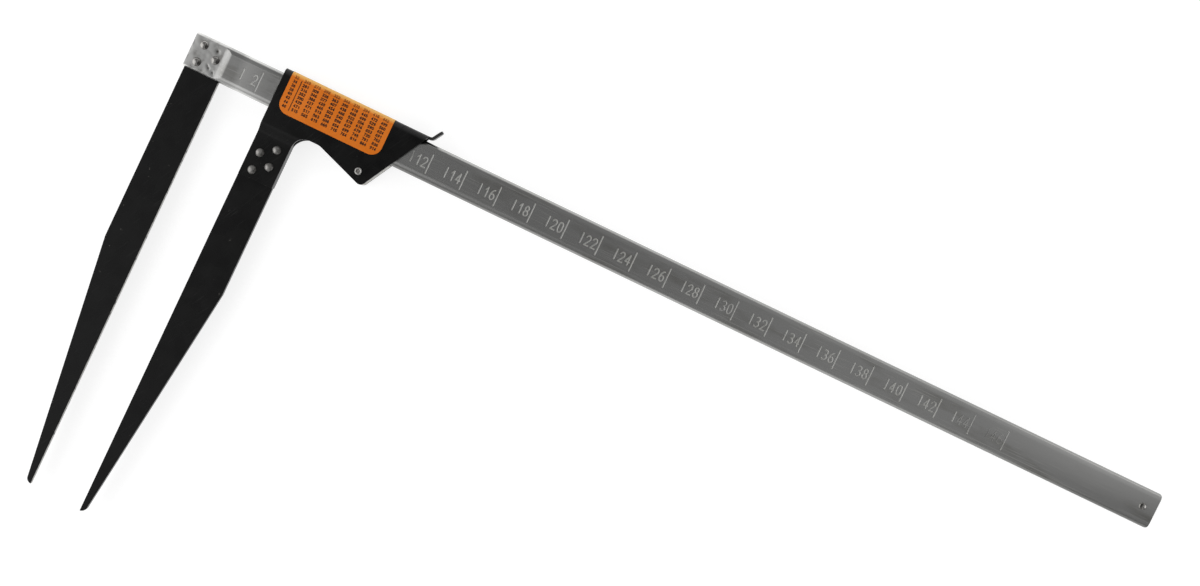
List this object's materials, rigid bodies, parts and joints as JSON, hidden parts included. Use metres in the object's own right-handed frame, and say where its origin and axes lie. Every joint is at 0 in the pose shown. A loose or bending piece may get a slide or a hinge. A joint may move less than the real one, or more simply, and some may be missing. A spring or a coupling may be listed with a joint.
{
  "type": "log caliper",
  "caption": "Sliding log caliper: flat tubular beam with a stamped centimetre scale, a fixed tapered jaw, and a folded sheet slider with a moving jaw, number table and thumb tab.",
  "frame": {"origin": "zero of the scale: on the fixed jaw's measuring face, at the beam's lower edge and at mid thickness", "axes": "+X along the beam from the zero to its free end, +Y across the beam away from the jaws, +Z out of the front face; the caliper lies on its back"},
  "size_m": [0.5699, 0.268, 0.0124],
  "materials": {
    "beam_aluminium": "satin, drawn, lightly scuffed",
    "black_paint": "semi-matte black paint on steel",
    "rivet_metal": "bare, domed, lightly worn",
    "pale_plastic": "natural nylon",
    "orange_label": "printed adhesive film"
  },
  "bodies": {
    "beam_assembly": {"beam": "beam_aluminium", "fixed_jaw": "black_paint", "fixed_jaw_rivets": "rivet_metal", "stop_rivet": "rivet_metal"},
    "slider_assembly": {"slider": "black_paint", "moving_jaw": "black_paint", "moving_jaw_rivets": "rivet_metal", "guide_block": "pale_plastic", "corner_rivet": "rivet_metal", "label": "orange_label"}
  },
  "joints": [
    {"name": "jaw_slide", "type": "slide", "parent": "beam_assembly", "child": "slider_assembly", "axis": [1, 0, 0], "range_m": [-0.0299, 0.432]}
  ]
}
